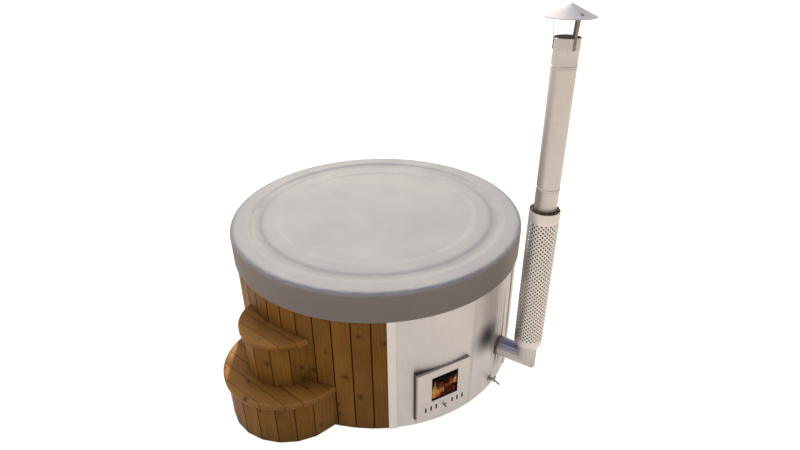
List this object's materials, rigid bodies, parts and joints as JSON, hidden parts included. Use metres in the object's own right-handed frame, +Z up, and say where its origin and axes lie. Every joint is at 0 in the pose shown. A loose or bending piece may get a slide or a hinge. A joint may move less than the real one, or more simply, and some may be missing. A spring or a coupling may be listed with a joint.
{
  "type": "wooden hot tub",
  "caption": "Round wooden hot tub with a moulded lift-off lid, a metal-clad front holding a wood stove, a guarded flue with a rain cap and half-round wooden steps.",
  "frame": {"origin": "on the ground under the tub's centre, on the lower face of the middle joist", "axes": "+Z up; the stove door faces -Y; +X to the right of someone who faces the door"},
  "size_m": [2.2481, 2.1774, 2.493],
  "materials": {
    "joists_wood": "matte",
    "frame_wood": "matte",
    "foam": "matte",
    "basin_moulding": "gloss",
    "stained_wood": "satin",
    "tread_wood": "satin",
    "cladding_steel": "satin",
    "trim_steel": "satin",
    "mineral_board": "matte",
    "stove_steel": "matte",
    "grate_iron": "matte",
    "burning_wood": "matte",
    "inner_steel": "satin",
    "collar_steel": "satin",
    "door_steel": "satin",
    "hinge_steel": "satin",
    "window_glass": "gloss",
    "seal_cord": "matte",
    "flue_steel": "satin",
    "gland_rubber": "matte",
    "cap_steel": "satin",
    "strap_steel": "satin",
    "tap_metal": "satin",
    "lid_moulding": "satin",
    "lid_liner": "matte"
  },
  "bodies": {
    "tub": {"base_joists": "joists_wood", "base_board": "frame_wood", "floor_foam": "foam", "wall_studs": "frame_wood", "wall_hoops": "frame_wood", "wall_foam": "foam", "basin": "basin_moulding", "basin_well": "basin_moulding", "bench_ribs": "frame_wood", "wall_boards": "stained_wood", "cladding_frame": "frame_wood", "stove_cladding": "cladding_steel", "cladding_trims": "trim_steel", "hearth_board": "mineral_board", "water_jacket": "inner_steel", "firebox": "stove_steel", "stove_front_plate": "stove_steel", "fire_grate": "grate_iron", "firewood": "burning_wood", "smoke_box": "inner_steel", "water_pipes": "inner_steel", "pipe_grilles": "inner_steel", "door_collar": "collar_steel", "hinge_pins": "hinge_steel", "door_catch": "hinge_steel", "flue_stub": "flue_steel", "flue_gland": "gland_rubber", "flue_elbow": "flue_steel", "flue_lower_pipe": "flue_steel", "flue_upper_pipe": "flue_steel", "flue_adapter": "flue_steel", "heat_guard": "flue_steel", "guard_spacers": "flue_steel", "cap_collar": "flue_steel", "cap_straps": "strap_steel", "cap_cone": "cap_steel", "drain_strainer": "inner_steel", "drain_pipe": "inner_steel", "tap_escutcheon": "tap_metal", "tap_body": "tap_metal", "tap_spout": "tap_metal", "step_frames": "frame_wood", "lower_fascia": "stained_wood", "lower_tread": "tread_wood", "upper_fascia": "stained_wood", "upper_tread": "tread_wood"},
    "lid": {"lid_shell": "lid_moulding", "lid_foam": "foam", "lid_liner": "lid_liner"},
    "stove_door": {"door_pan": "door_steel", "door_glass": "window_glass", "glass_frame": "hinge_steel", "slide_guides": "hinge_steel", "seal_channel": "hinge_steel", "door_seal": "seal_cord", "door_liner": "stove_steel", "catch_striker": "hinge_steel"},
    "air_control": {"air_slide": "inner_steel", "air_knob": "hinge_steel"},
    "drain_handle": {"tap_handle": "tap_metal"}
  },
  "joints": [
    {"name": "lid_lift", "type": "slide", "parent": "tub", "child": "lid", "axis": [0, 0, 1], "range_m": [0, 0.35]},
    {"name": "door_hinge", "type": "hinge", "parent": "tub", "child": "stove_door", "pos_m": [0.1373, -0.983, 0.25], "axis": [0, 0, 1], "range_deg": [0, 110]},
    {"name": "air_control", "type": "slide", "parent": "stove_door", "child": "air_control", "axis": [1, 0, 0], "range_m": [0, 0.016]},
    {"name": "drain_turn", "type": "hinge", "parent": "tub", "child": "drain_handle", "pos_m": [0.39154, -0.94294, 0.09], "axis": [0, 0, 1], "range_deg": [0, 90]}
  ]
}
